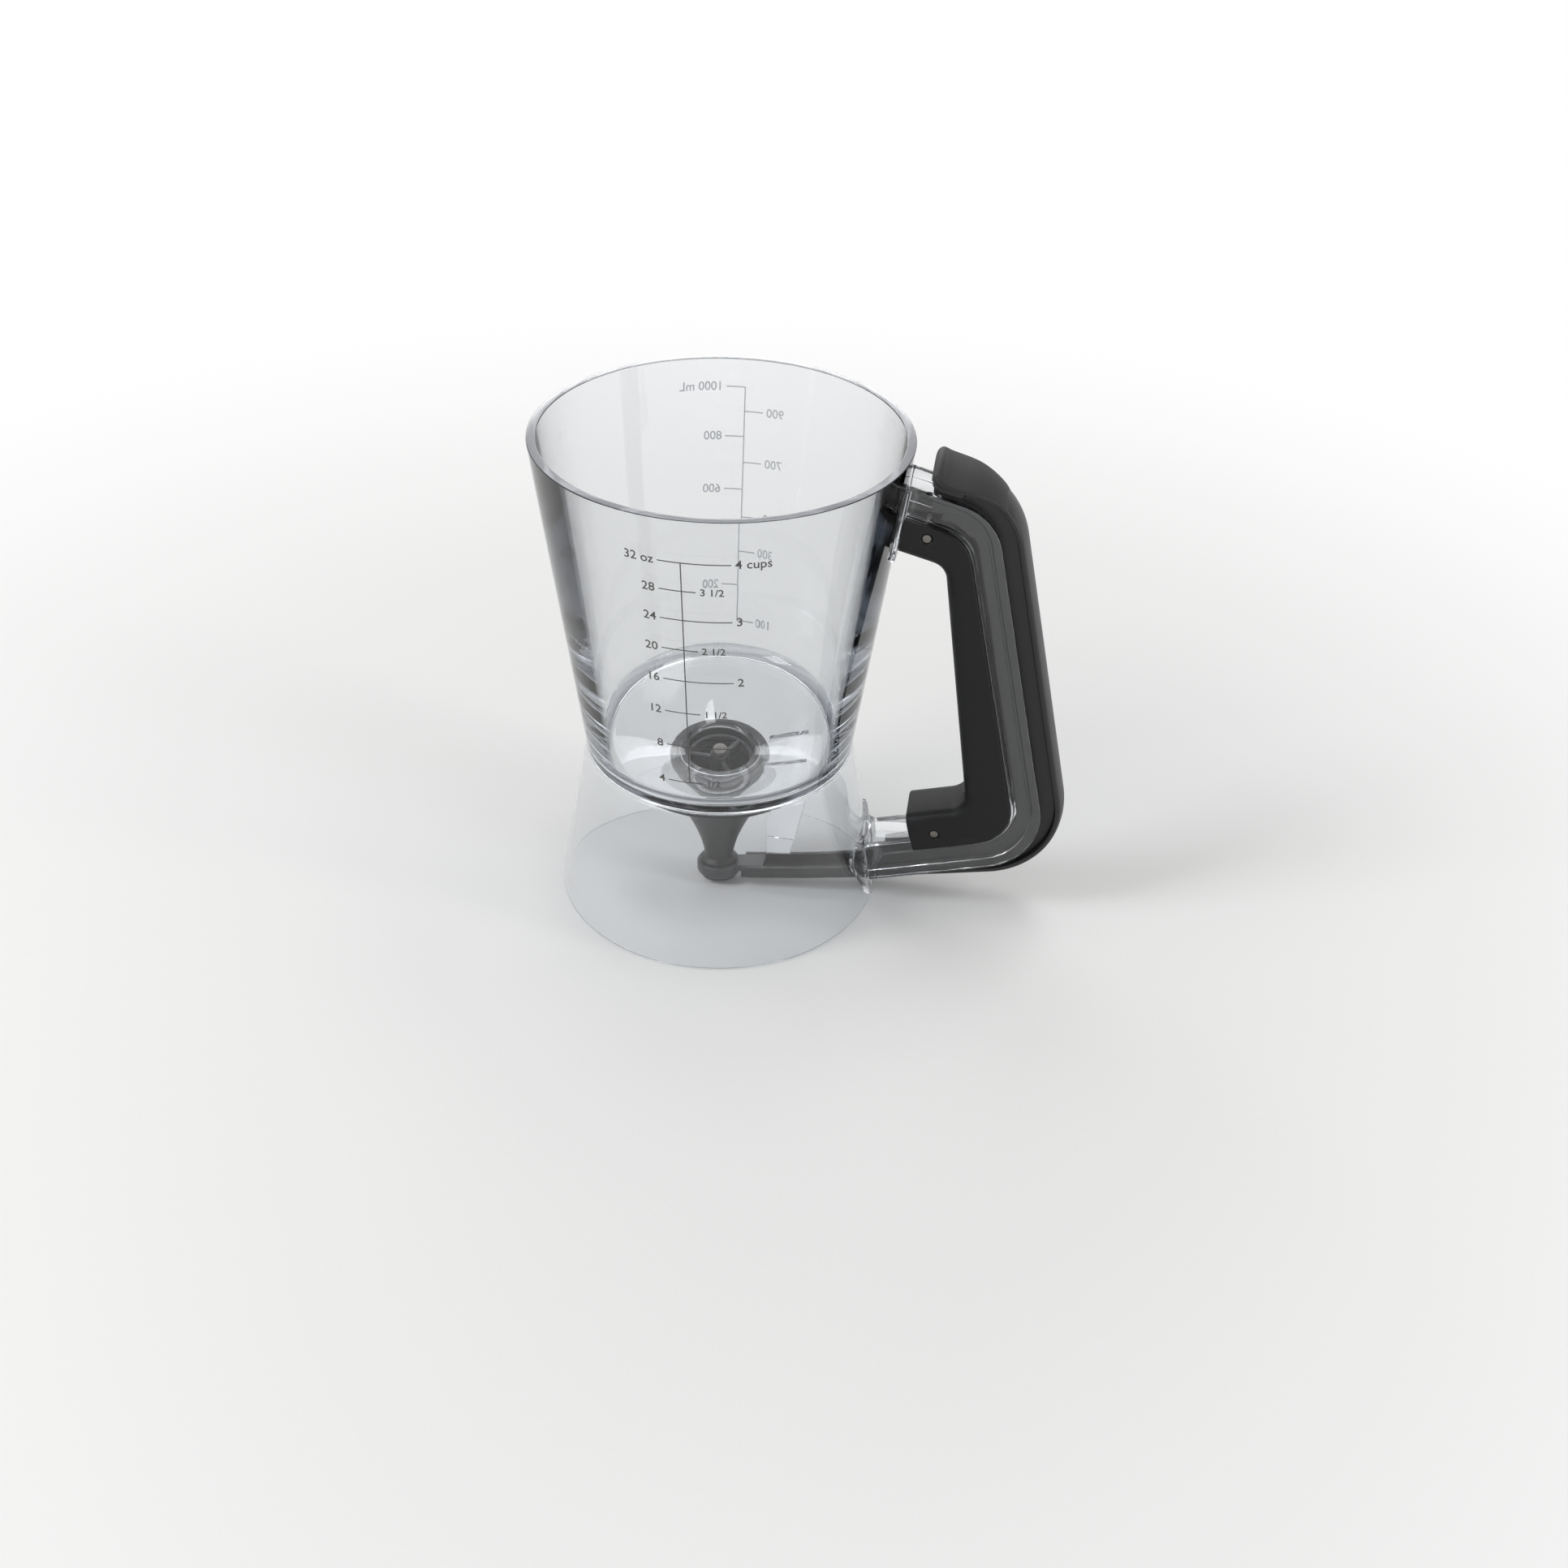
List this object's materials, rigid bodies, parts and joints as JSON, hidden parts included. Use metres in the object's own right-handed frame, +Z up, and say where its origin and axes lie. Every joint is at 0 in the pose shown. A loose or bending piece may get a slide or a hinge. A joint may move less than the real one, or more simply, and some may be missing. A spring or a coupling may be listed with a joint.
{
  "type": "batter dispenser",
  "caption": "Open clear hourglass jug with a funnel floor, a soft pouring nozzle inside its flared base, and a squeeze lever in a clear channel handle that opens the nozzle.",
  "frame": {"origin": "on the jug's own axis, in the plane that the base rim stands on", "axes": "+Z up along the jug's axis, towards the open rim; +X towards the handle; +Y completes the right-handed frame"},
  "size_m": [0.1931, 0.13, 0.184],
  "materials": {
    "clear_plastic": "polished clear copolyester",
    "soft_grip": "satin soft-touch",
    "pin_steel": "ground stainless",
    "spring_steel": "drawn wire",
    "black_plastic": "satin moulded",
    "thumb_rubber": "matte soft-touch",
    "silicone": "smooth satin",
    "dark_plastic": "satin moulded"
  },
  "bodies": {
    "jug": {"jug_body": "clear_plastic", "handle_frame": "clear_plastic", "inner_grip": "soft_grip", "pivot_pin": "pin_steel", "stop_pin": "pin_steel", "return_spring": "spring_steel", "nozzle": "silicone", "nozzle_clamp": "dark_plastic", "outlet_spider": "dark_plastic", "valve_stem": "pin_steel"},
    "squeeze_lever": {"lever": "black_plastic", "palm_band": "soft_grip", "thumb_pad": "thumb_rubber", "nozzle_collar": "black_plastic"}
  },
  "joints": [
    {"name": "squeeze", "type": "hinge", "parent": "jug", "child": "squeeze_lever", "pos_m": [0.082, 0, 0.03565], "axis": [0, -1, 0], "range_deg": [0, 2.3], "stiffness_Nm_per_rad": 2, "springref_deg": -8.59, "deforming": ["nozzle"]}
  ]
}
